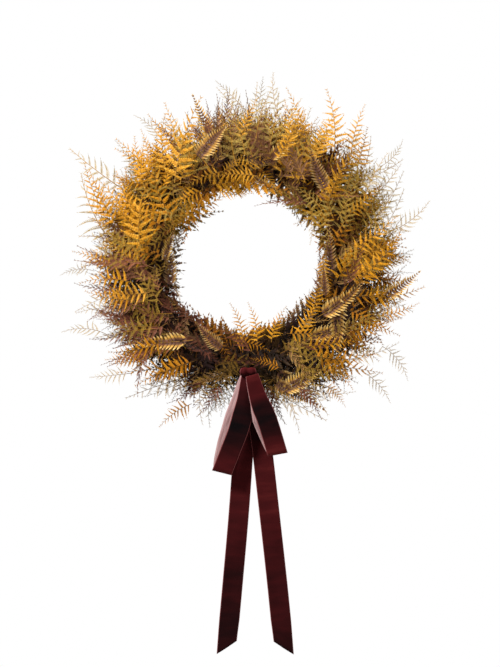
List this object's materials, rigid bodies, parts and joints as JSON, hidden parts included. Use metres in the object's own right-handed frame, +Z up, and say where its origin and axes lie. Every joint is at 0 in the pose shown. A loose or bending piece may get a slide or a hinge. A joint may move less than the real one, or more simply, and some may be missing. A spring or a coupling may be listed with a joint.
{
  "type": "door wreath",
  "caption": "Round autumn door wreath of preserved fern sprays wired to a wound vine ring, with a hanging wire eye and a drooping velvet ribbon bow with two loops and two tails.",
  "frame": {"origin": "underside of the hanging wire's eye, where a door hook carries the wreath", "axes": "+Z up, -Y is the front that the viewer sees, +X to the viewer's right"},
  "size_m": [0.6852, 0.1252, 1.0684],
  "materials": {
    "rattan_hoop": "matte",
    "vine_strand": "matte",
    "binding_wire": "satin",
    "hanger_wire": "satin",
    "gold_fern": "matte",
    "olive_lace_fern": "matte",
    "mauve_plume_fern": "matte",
    "brown_sword_fern": "matte",
    "velvet_ribbon": "matte"
  },
  "bodies": {
    "wreath": {"rattan_hoop": "rattan_hoop", "vine_strand_1": "vine_strand", "vine_strand_2": "vine_strand", "vine_strand_3": "vine_strand", "binding_wire": "binding_wire", "hanger_wire": "hanger_wire", "bow_wire": "hanger_wire", "olive_lace_fern_top_right": "olive_lace_fern", "gold_fern_upright_right": "gold_fern", "gold_fern_corner_right": "gold_fern", "olive_lace_fern_upper_right": "olive_lace_fern", "olive_lace_fern_right": "olive_lace_fern", "gold_fern_right": "gold_fern", "amber_fern_right": "gold_fern", "amber_fern_lower_right": "gold_fern", "sword_fern_lower_right": "brown_sword_fern", "olive_lace_fern_bottom_right": "olive_lace_fern", "olive_lace_fern_bottom_left": "olive_lace_fern", "amber_fern_lower_left": "gold_fern", "plume_fern_lower_left": "mauve_plume_fern", "olive_lace_fern_lower_left": "olive_lace_fern", "plume_fern_left": "mauve_plume_fern", "gold_fern_left": "gold_fern", "olive_lace_fern_upper_left": "olive_lace_fern", "gold_fern_corner_left": "gold_fern", "gold_fern_upright_left": "gold_fern", "plume_fern_top_left": "mauve_plume_fern", "sword_fern_front_top": "brown_sword_fern", "plume_fern_front_upper_right": "mauve_plume_fern", "amber_fern_front_right": "gold_fern", "sword_fern_front_right": "brown_sword_fern", "sword_fern_front_lower_right": "brown_sword_fern", "sword_fern_front_lower_left": "brown_sword_fern", "plume_fern_front_lower_left": "mauve_plume_fern", "gold_fern_front_left": "gold_fern", "gold_fern_front_upper_left": "gold_fern", "sword_fern_front_upper_left": "brown_sword_fern", "gold_fern_inner_top": "gold_fern", "sword_fern_inner_top_right": "brown_sword_fern", "olive_lace_fern_inner_upper_right": "olive_lace_fern", "gold_fern_inner_right": "gold_fern", "sword_fern_inner_lower_right": "brown_sword_fern", "gold_fern_inner_bottom": "gold_fern", "plume_fern_inner_lower_left": "mauve_plume_fern", "sword_fern_inner_left": "brown_sword_fern", "olive_lace_fern_inner_upper_left": "olive_lace_fern", "gold_fern_inner_top_left": "gold_fern", "ribbon_knot": "velvet_ribbon"},
    "loop_left": {"ribbon_loop_left": "velvet_ribbon"},
    "loop_right": {"ribbon_loop_right": "velvet_ribbon"},
    "tail_left": {"ribbon_tail_left": "velvet_ribbon"},
    "tail_right": {"ribbon_tail_right": "velvet_ribbon"}
  },
  "joints": [
    {"name": "loop_left_swing", "type": "hinge", "parent": "wreath", "child": "loop_left", "pos_m": [0.0055, -0.0997, -0.429], "axis": [0, 1, 0], "range_deg": [0, 30]},
    {"name": "loop_right_swing", "type": "hinge", "parent": "wreath", "child": "loop_right", "pos_m": [0.0055, -0.1127, -0.429], "axis": [0, 1, 0], "range_deg": [-30, 0]},
    {"name": "tail_left_swing", "type": "hinge", "parent": "wreath", "child": "tail_left", "pos_m": [0.0055, -0.0862, -0.429], "axis": [0, 1, 0], "range_deg": [-20, 25]},
    {"name": "tail_right_swing", "type": "hinge", "parent": "wreath", "child": "tail_right", "pos_m": [0.0055, -0.0892, -0.429], "axis": [0, 1, 0], "range_deg": [-25, 20]}
  ]
}
